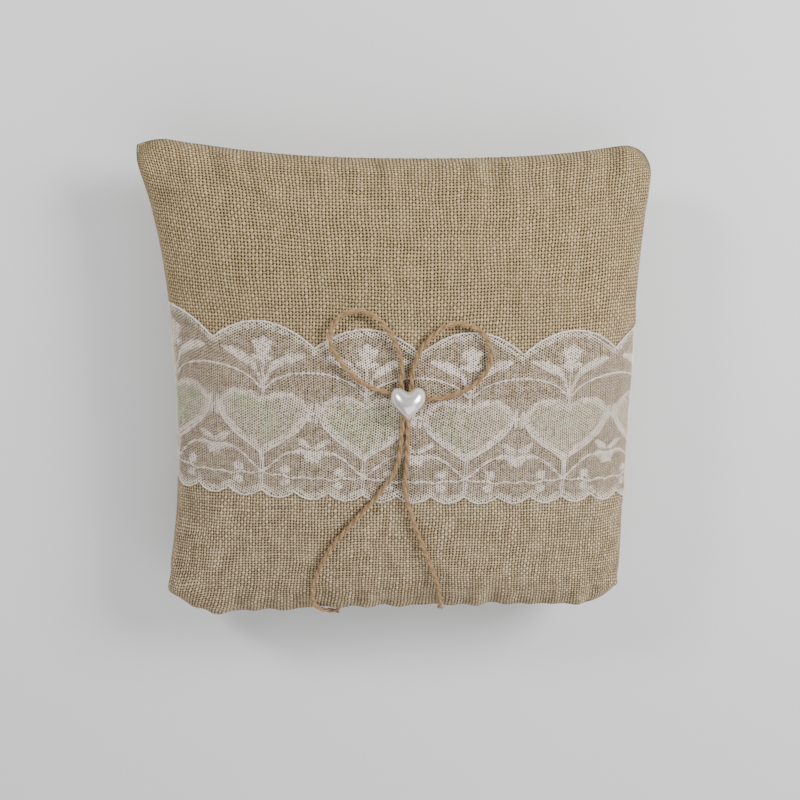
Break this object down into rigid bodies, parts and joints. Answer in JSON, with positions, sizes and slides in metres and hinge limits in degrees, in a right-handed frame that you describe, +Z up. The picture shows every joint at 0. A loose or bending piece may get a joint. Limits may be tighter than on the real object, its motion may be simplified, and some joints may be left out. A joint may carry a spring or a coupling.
{
  "type": "ring bearer pillow",
  "caption": "Small square burlap cushion with a scalloped heart-lace band and a twine bow under a pearl heart, for carrying wedding rings tied to its tails.",
  "frame": {"origin": "middle of the flat underside of the cushion", "axes": "+Z up, out of the decorated front; +X across the lace band to the right; +Y towards the top edge, away from the bow's tails"},
  "size_m": [0.2, 0.2, 0.064],
  "materials": {
    "burlap": "open plain weave of slubby natural yarn, matte",
    "sewing_thread": "matte spun thread",
    "lining_cotton": "matte plain cotton",
    "lining_thread": "matte spun thread",
    "fibrefill": "loose white polyester fibre",
    "lace": "off-white net lace with raised cords and a soft green sheen",
    "twine": "two-ply jute with fine fuzz",
    "clear_glue": "clear hot glue",
    "pearl": "pearl-white lustre"
  },
  "bodies": {
    "cushion": {"front_panel": "burlap", "back_panel": "burlap", "perimeter_seam": "sewing_thread", "closing_stitches": "sewing_thread", "inner_bag_front": "lining_cotton", "inner_bag_back": "lining_cotton", "inner_bag_seam": "lining_thread", "filling": "fibrefill", "lace_band": "lace", "bow_knot": "twine", "bow_tack": "sewing_thread", "bead_glue": "clear_glue", "heart_bead": "pearl"},
    "bow_left_loop": {"left_loop": "twine"},
    "bow_right_loop": {"right_loop": "twine"},
    "bow_left_tail": {"left_tail": "twine"},
    "bow_right_tail": {"right_tail": "twine"}
  },
  "joints": [
    {"name": "left_loop_lift", "type": "hinge", "parent": "cushion", "child": "bow_left_loop", "pos_m": [-0.00665, 0.00785, 0.0556], "axis": [0.8796, 0.4758, 0], "range_deg": [0, 60]},
    {"name": "right_loop_lift", "type": "hinge", "parent": "cushion", "child": "bow_right_loop", "pos_m": [0.00425, 0.0066, 0.0556], "axis": [0.7609, -0.6489, 0], "range_deg": [0, 60]},
    {"name": "left_tail_lift", "type": "hinge", "parent": "cushion", "child": "bow_left_tail", "pos_m": [-0.003, -0.006, 0.0556], "axis": [-1, 0, 0], "range_deg": [0, 80]},
    {"name": "right_tail_lift", "type": "hinge", "parent": "cushion", "child": "bow_right_tail", "pos_m": [-0.0009, -0.006, 0.0556], "axis": [-1, 0, 0], "range_deg": [0, 80]}
  ]
}
